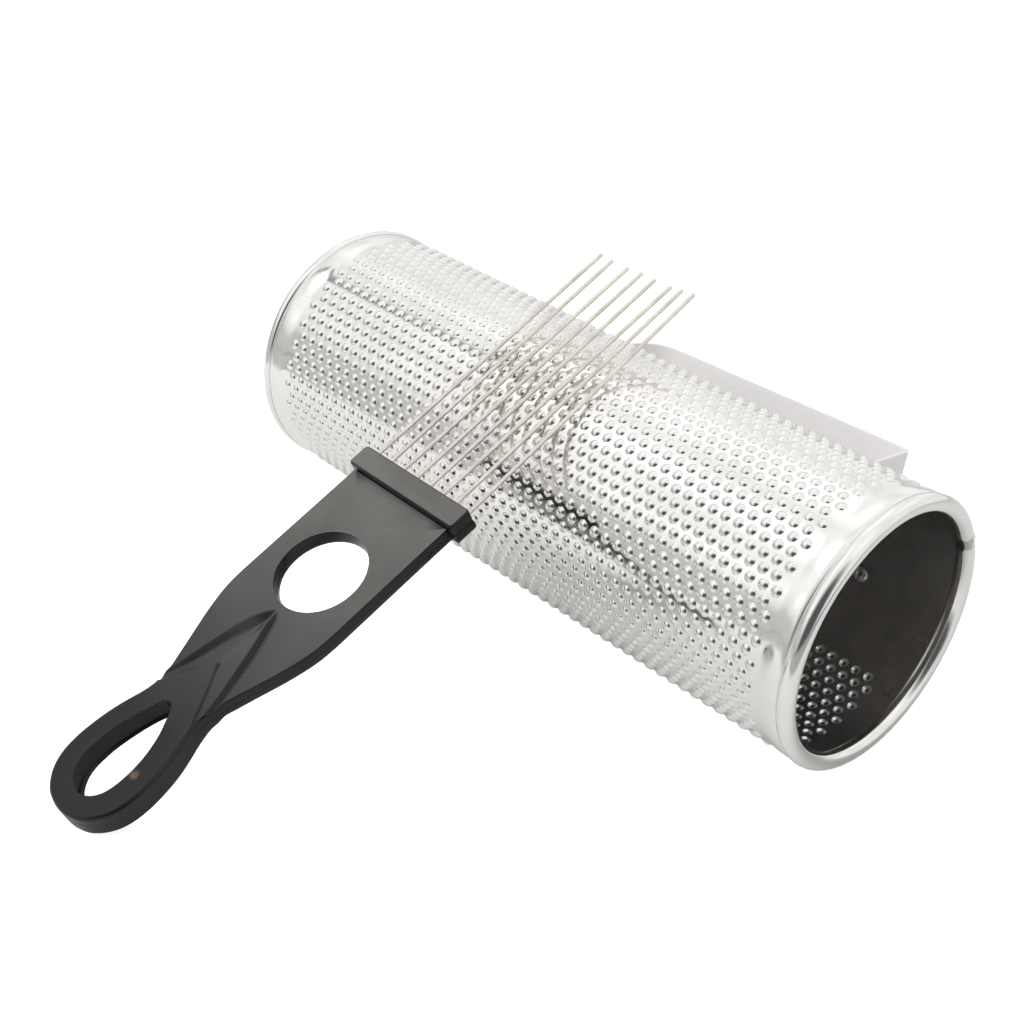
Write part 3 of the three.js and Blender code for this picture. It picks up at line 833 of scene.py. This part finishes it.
def smooth_line(points, steps, closed):
    """A smooth line through flat points, each run between two of them cut into steps."""
    line = []
    count = len(points)
    for n in range(count if closed else count - 1):
        around = [n - 1, n, n + 1, n + 2]
        if not closed:
            around = [min(max(k, 0), count - 1) for k in around]
        a, b, c, d = (Vector((*points[k % count], 0.0)) for k in around)
        reach = (c - b).length / 3
        leave = b + (c - a).normalized() * reach
        arrive = c - (d - b).normalized() * reach
        line += interpolate_bezier(b, leave, arrive, c, steps + 1)[:-1]
    return line


def handle_outline():
    """The handle's wall line, anticlockwise: loop, right side, bar, left side."""
    mirrored = [(-x, y) for x, y in reversed(HANDLE_SIDE)]
    curve = smooth_line([*HANDLE_SIDE, (0.0, HANDLE_END), *mirrored], 6, False)
    whole = curve + [Vector((x, y, 0.0)) for x, y in (mirrored[-1], *BAR_LINE)]
    return [Vector((p.x + HANDLE_MIDDLE, p.y, 0.0)) for p in reversed(whole)]


# The handle's edges step by step: how far inside the wall's line, and how far off the flat, mm
PLATE_EDGE = ((0.62, 0.0), (0.5, 0.08), (0.4, 0.4), (0.0, 1.9))
LOOP_EDGE = ((1.55, 0.0), (0.78, 0.21), (0.21, 0.78), (0.0, 1.55))
UNDER_EDGE = ((0.0, 1.1), (0.15, 0.55), (0.55, 0.15), (1.1, 0.0))


def edge_step(n, y):
    """Inset and drop of a step of the top edge: crisp on the plate, full on the loop."""
    share = smoothstep(-y, 94.0, 110.0)
    return tuple(a + (b - a) * share for a, b in zip(PLATE_EDGE[n], LOOP_EDGE[n]))


def rim_steps():
    """The steps from the flat top to the underside: functions of a place along the handle, its
    top's height there and how full its edge is, which give an inset and a height."""
    def top_edge(n):
        return lambda y, top, fuller: (edge_step(n, y)[0], top - fuller * edge_step(n, y)[1])

    def wall(share, inset):
        return lambda y, top, fuller: (inset, (
            top - fuller * edge_step(3, y)[1]) * (1 - share)
            + (handle_bottom(y) + UNDER_EDGE[0][1]) * share)

    def under_edge(inset, lift):
        return lambda y, top, fuller: (inset, handle_bottom(y) + lift)

    return [*(top_edge(n) for n in (1, 2, 3)), *(wall(*ring) for ring in WALL_RINGS),
            *(under_edge(*step) for step in UNDER_EDGE)]


def cut(bm, at, normal, low=Vector((-99, -199, 0)), high=Vector((99, 99, 0))):
    """Cuts the flat faces whose middles lie between two corners along a plane."""
    geometry = set()
    for face in bm.faces:
        middle = face.calc_center_median()
        if low.x < middle.x < high.x and low.y < middle.y < high.y:
            geometry.update((face, *face.verts, *face.edges))
    bmesh.ops.bisect_plane(bm, geom=list(geometry), dist=1e-5, plane_co=at, plane_no=normal)


class GUIRO_OT_scraper_handle(bpy.types.Operator):
    """Moulds the handle: a slab with a window and a loop, crossed by two raised strands"""

    bl_idname = "guiro.scraper_handle"
    bl_label = "Scraper handle"

    def execute(self, context):
        s = context.scene.guiro_scraper
        plastic = moulded("moulded_plastic", s.painted_sheen, s.plastic, (0.42, 0.2))
        # The walls and rounded edges take a lighter copy of the plastic: a painted highlight line
        # along the upper edges
        edge_highlight = moulded("painted_edge_highlight", tint(s.painted_sheen, 4.5), tint(s.plastic, 1.5), (0.4, 0.2))

        # Each rim vertex knows its place on the wall's line and the way out of the plastic
        bm = bmesh.new()
        layers = bm.verts.layers.float_vector
        home, out = layers.new("home"), layers.new("out")
        hole = smooth_line(LOOP_HOLE, 5, True)[::-1]
        ring = bmesh.ops.create_circle(bm, segments=120, radius=WINDOW_RADIUS)["verts"]
        window = [WINDOW + v.co for v in reversed(ring)]
        bmesh.ops.delete(bm, geom=ring, context="VERTS")
        for line, fuller in ((handle_outline(), 1.0), (hole, 1.1), (window, 0.8)):
            verts = []
            for n, at in enumerate(line):
                along = (line[(n + 1) % len(line)] - line[n - 1]).normalized()
                away = Vector((along.y, -along.x, 0))
                vert = bm.verts.new(at - away * edge_step(0, at.y)[0] * fuller)
                vert[home], vert[out] = at, away * fuller
                verts.append(vert)
            for n, vert in enumerate(verts):
                bm.edges.new((verts[n - 1], vert))
        bmesh.ops.triangle_fill(bm, use_beauty=True, use_dissolve=False, edges=bm.edges[:])

        low, high = RELIEF_LOW, RELIEF_HIGH
        for y in TOP_CUTS:
            cut(bm, (0, y, 0), (0, 1, 0))
        for x in (low.x, high.x):
            cut(bm, (x, 0, 0), (1, 0, 0))
        for n in range(1, int((high.y - low.y) / RELIEF_CELL) + 1):
            cut(bm, (0, low.y + RELIEF_CELL * n, 0), (0, 1, 0), low, high)
        for n in range(1, int((high.x - low.x) / RELIEF_CELL) + 1):
            cut(bm, (low.x + RELIEF_CELL * n, 0, 0), (1, 0, 0), low, high)

        rim = [e for e in bm.edges if e.is_boundary]
        for vert in bm.verts:
            vert.co.z = handle_top(vert.co.x, vert.co.y)
        flat = set(bm.faces)
        for shape in rim_steps():
            drawn = bmesh.ops.extrude_edge_only(bm, edges=rim)["geom"]
            rim = only(drawn, bmesh.types.BMEdge)
            for vert in only(drawn, bmesh.types.BMVert):
                at, way = vert[home], vert[out]
                top = at - way * edge_step(0, at.y)[0]
                inset, height = shape(at.y, handle_top(top.x, top.y), way.length)
                vert.co = (at.x - way.x * inset, at.y - way.y * inset, height)
        walls = set(bm.faces) - flat
        bmesh.ops.triangle_fill(bm, use_beauty=True, use_dissolve=False, edges=rim)
        # The walls and rounded edges take the copy with the painted edge highlight
        for face in walls:
            face.material_index = 1
        bmesh.ops.recalc_face_normals(bm, faces=bm.faces)
        layers.remove(layers["home"])
        layers.remove(layers["out"])
        place(bm, SCRAPER_FRAME)
        handle = make_piece("scraper_handle_moulded", bm, [plastic, edge_highlight],
                            "scraper", ["scraper_handle"])
        even = handle.modifiers.new("even shading", "WEIGHTED_NORMAL")
        even.weight = 50
        return {"FINISHED"}


# The cap's lowest and highest faces in the scraper's frame, mm
CAP_LOW, CAP_TOP = 0.05, 4.0


class GUIRO_OT_clamp_cap(bpy.types.Operator):
    """Builds the cap of the bar that clamps the tines"""

    bl_idname = "guiro.clamp_cap"
    bl_label = "Tine clamp cap"

    def execute(self, context):
        s = context.scene.guiro_scraper
        bm = bmesh.new()
        bmesh.ops.create_cube(bm, size=1.0)
        size = Matrix.Diagonal((s.bar_width, BAR_DEPTH, CAP_TOP - CAP_LOW, 1))
        place(bm, Matrix.Translation((0, -BAR_DEPTH / 2, (CAP_TOP + CAP_LOW) / 2)) @ size)
        upright = [e for e in bm.edges if abs(e.verts[0].co.z - e.verts[1].co.z) > 1]
        rounded = {"segments": 4, "profile": 0.5, "affect": "EDGES", "material": -1}
        bmesh.ops.bevel(bm, geom=upright, offset=1.4, **rounded)
        top = [e for e in bm.edges if all(v.co.z > CAP_TOP - 0.1 for v in e.verts)
               and any(abs(f.normal.z) < 0.5 for f in e.link_faces)]
        bmesh.ops.bevel(bm, geom=top, offset=0.8, **rounded)
        place(bm, SCRAPER_FRAME)
        plastic = bpy.data.materials["moulded_plastic"]
        make_piece("tine_clamp_cap_moulded", bm, [plastic],
                   "scraper", ["tine_clamp_cap"], 35)
        return {"FINISHED"}


class GUIRO_OT_tines(bpy.types.Operator):
    """Draws the eight wire tines, each a little off true"""

    bl_idname = "guiro.tines"
    bl_label = "Wire tines"

    # The length inside the bar, and how far each tip drifts sideways and falls short, mm
    held = 6.3
    drift = (0.08, -0.69, 0.4, 0.13, -0.05, 0.73, -1.27, -2.75)
    short = (0.16, 0.62, 0.77, 0.19, 0.46, 0.38, -0.31, -0.81)

    def execute(self, context):
        s = context.scene.guiro_scraper
        look = finish("drawn_wire", (s.wire, tint(s.wire, 0.82)), (0.24, 0.36), 1.0,
                      (900.0, 40.0, 40.0), 120.0, (0.1, 0.00002))
        r = s.tine_radius
        for n, short in enumerate(self.short):
            free = s.tine_free - short
            rings = [(-self.held, r), *((free * k / 9, r) for k in range(9)),
                     (free - 0.5, r), (free - 0.18, 0.85 * r), (free, 0.5 * r)]
            bm = bmesh.new()
            bmesh.ops.create_circle(bm, segments=14, radius=r, cap_ends=True)
            turn = Matrix.Rotation(math.radians(-90), 4, "X")
            place(bm, Matrix.Translation((0, -self.held, 0)) @ turn)
            faces = bm.faces[:]
            for (y0, r0), (y1, r1) in zip(rings, rings[1:]):
                narrow = Matrix.Diagonal((r1 / r0, 1, r1 / r0, 1))
                step = Matrix.Translation((0, y1 - y0, 0)) @ narrow
                faces = extrude(bm, faces, step, keep=y0 == -self.held)
            for vert in bm.verts:
                t = max(vert.co.y, 0.0) / free
                vert.co.x += (n - 3.5) * s.tine_pitch + self.drift[n] * t ** 1.1
            bmesh.ops.recalc_face_normals(bm, faces=bm.faces)
            place(bm, SCRAPER_FRAME)
            node = f"tine_{n + 1}"
            make_piece(node + "_wire", bm, [look], "scraper", [node], 40)
        return {"FINISHED"}


# Stage


# What the steel mirrors, as azimuth and height of its middle and the angles of its soft edge,
# degrees: bright spots on the white tent with their gain, and the dim room in the tent's opening
BRIGHT_SPOTS = ((-150, 57, 6, 16, 0.35), (140, 53, 6, 18, 0.3), (-121, 27, 3, 10, 0.15))
DIM_ROOM = (-52, 17, 22, 52)

# The shade under the tent's hem: its direction, middle height, half height, soft edge and strength
HEM = (-120, 5, 55, 75)
HEM_MIDDLE, HEM_HALF, HEM_EDGE, HEM_SHADE = 0.08, 0.1, 0.12, 0.35

# Where the photo was taken from, m, and which way the camera was turned, degrees
CAMERA_AT = (0.34247843, -0.31414523, 0.34408667)
CAMERA_TURN = (57.90629, -2.10051, 47.05598)
WHITE = (1.0, 1.0, 1.0, 1.0)


def flat_card(name, size, matrix, material):
    """A rectangle that isn't part of the object."""
    bm = rectangle(*size)
    place(bm, matrix)
    card = new_object(name, bm, [material])
    return card


def facing(position, target):
    """A matrix at position whose +Z looks at target."""
    direction = (Vector(target) - Vector(position)).normalized()
    return Matrix.Translation(position) @ direction.to_track_quat("Z", "Y").to_matrix().to_4x4()


def white_table(nodes):
    """White cloth that glows for the camera alone."""
    seen = nodes.add("LightPath").outputs["Is Camera Ray"]
    cloth = nodes.add("BsdfDiffuse", {"Color": (0.82, 0.82, 0.815, 1.0)}).outputs[0]
    glow = nodes.add("Emission", {
        "Color": WHITE, "Strength": nodes.times(seen, 0.8)}).outputs[0]
    return nodes.add("AddShader", {0: cloth, 1: glow}).outputs[0]


def grey_card(nodes):
    """Plain grey."""
    return nodes.add("BsdfDiffuse", {"Color": (0.42, 0.42, 0.42, 1.0)}).outputs[0]


def tent(nodes):
    """A white tent with a dim room beyond its opening, seen in reflections only."""
    look = nodes.add("TexCoord").outputs["Generated"]
    height = nodes.add("SeparateXYZ", {0: look}).outputs[2]

    def toward(azimuth, rise, near, far):
        """1 around a direction, 0 away from it, with a soft edge between two angles."""
        a, h, near, far = (math.radians(angle) for angle in (azimuth, rise, near, far))
        aim = (math.cos(h) * math.cos(a), math.cos(h) * math.sin(a), math.sin(h))
        return nodes.remap(
            nodes.dot(look, aim), math.cos(far), math.cos(near), 0.0, 1.0, "SMOOTHSTEP")

    bright = nodes.remap(height, 0.0, 0.75, 0.87, 1.0)
    folds = nodes.remap(nodes.noise(look, 3.0, 1.0), 0.35, 0.65, -0.1, 0.1)
    bright = nodes.plus(bright, folds)
    for *where, gain in BRIGHT_SPOTS:
        bright = nodes.plus(bright, nodes.times(toward(*where), gain))
    off_hem = nodes.math("ABSOLUTE", nodes.math("SUBTRACT", height, HEM_MIDDLE))
    hem = nodes.remap(off_hem, HEM_HALF, HEM_HALF + HEM_EDGE, 1.0, 0.0, "SMOOTHSTEP")
    hem = nodes.times(hem, toward(*HEM))
    dark = nodes.math("MAXIMUM", toward(*DIM_ROOM), nodes.times(hem, HEM_SHADE))
    cloth = nodes.add("CombineColor", {0: bright, 1: bright, 2: bright}).outputs[0]
    mirrored = nodes.mix(dark, cloth, (0.09, 0.09, 0.092, 1.0))
    path = nodes.add("LightPath").outputs
    behind = nodes.mix(path["Is Glossy Ray"], (0.6, 0.6, 0.6, 1.0), mirrored)
    shown = nodes.mix(path["Is Camera Ray"], behind, WHITE)
    return nodes.add("Background", {"Color": shown, "Strength": 1.0}).outputs[0]


class GUIRO_OT_stage(bpy.types.Operator):
    """Sets the white table, the grey cards, the soft light and the camera"""

    bl_idname = "guiro.stage"
    bl_label = "Table, light and camera"

    def execute(self, context):
        scene = context.scene
        s = scene.guiro_stage
        floor = new_material("white_table", white_table)
        flat_card("table", (s.floor_size, s.floor_size), Matrix.Identity(4), floor)

        # In reflections the white board ends in front of the object and to its left
        grey = new_material("grey_card", grey_card)
        board = Matrix.Rotation(math.radians(45.74), 4, "Z")
        high = facing((-0.70, -0.046, 0.634), (-0.1, 0.05, 0.05))
        for name, size, matrix in (
                ("card_front", (4.0, 2.0), board @ Matrix.Translation((0.0, -1.225, 0.001))),
                ("card_left", (2.0, 2.0), board @ Matrix.Translation((-1.288, 0.775, 0.001))),
                ("card_left_high", (0.08, 0.4), high)):
            card = flat_card(name, size, matrix, grey)
            card.visible_camera = False
            card.visible_shadow = False
            card.visible_diffuse = False
        scene.world = shade(bpy.data.worlds.new("studio"), "OutputWorld", tent)

        for name, power, position in (
                ("overhead_softbox", s.key_power, (-0.27, -0.38, 1.03)),
                ("left_front_softbox", s.fill_power, (-0.7, -0.9, 0.62))):
            lamp = bpy.data.lights.new(name, "AREA")
            lamp.shape = "RECTANGLE"
            lamp.size, lamp.size_y = 1.0, 0.8
            lamp.energy = power
            softbox = bpy.data.objects.new(name, lamp)
            softbox.visible_glossy = False
            softbox.matrix_world = facing(position, (0, 0, 0)) @ Matrix.Rotation(math.pi, 4, "X")
            scene.collection.objects.link(softbox)

        lens = bpy.data.cameras.new("photo_view")
        lens.lens = s.lens
        lens.sensor_width = 36.0
        lens.clip_start = 0.01
        camera = bpy.data.objects.new("photo_view", lens)
        camera.location = CAMERA_AT
        camera.rotation_euler = [math.radians(angle) for angle in CAMERA_TURN]
        scene.collection.objects.link(camera)
        scene.camera = camera
        scene.view_settings.view_transform = "Standard"
        return {"FINISHED"}


class GUIRO_PT_panel(bpy.types.Panel):
    """Lists the guiro's pieces and their sizes"""

    bl_label = "Metal guiro"
    bl_idname = "GUIRO_PT_panel"
    bl_space_type = "VIEW_3D"
    bl_region_type = "UI"
    bl_category = "Guiro"

    def draw(self, context):
        for group in SETTINGS:
            box = self.layout.box()
            settings = getattr(context.scene, group)
            for key in settings.bl_rna.properties.keys():
                if key not in {"rna_type", "name"}:
                    box.prop(settings, key)
        for operator in OPERATORS:
            self.layout.operator(operator.bl_idname)


OPERATORS = (
    GUIRO_OT_tube,
    GUIRO_OT_strap,
    GUIRO_OT_rivets,
    GUIRO_OT_scraper_handle,
    GUIRO_OT_clamp_cap,
    GUIRO_OT_tines,
    GUIRO_OT_stage,
)
CLASSES = (*SETTINGS.values(), *OPERATORS, GUIRO_PT_panel)


def register():
    """Registers the classes and hangs the settings on the scene."""
    for cls in CLASSES:
        bpy.utils.register_class(cls)
    for name, cls in SETTINGS.items():
        setattr(bpy.types.Scene, name, bpy.props.PointerProperty(type=cls))


def unregister():
    """Takes the settings and the classes away again."""
    for name in SETTINGS:
        delattr(bpy.types.Scene, name)
    for cls in reversed(CLASSES):
        bpy.utils.unregister_class(cls)


def main():
    """Builds every piece in order."""
    register()
    for operator in OPERATORS:
        getattr(bpy.ops.guiro, operator.bl_idname.removeprefix("guiro."))()


if __name__ == "__main__":
    main()
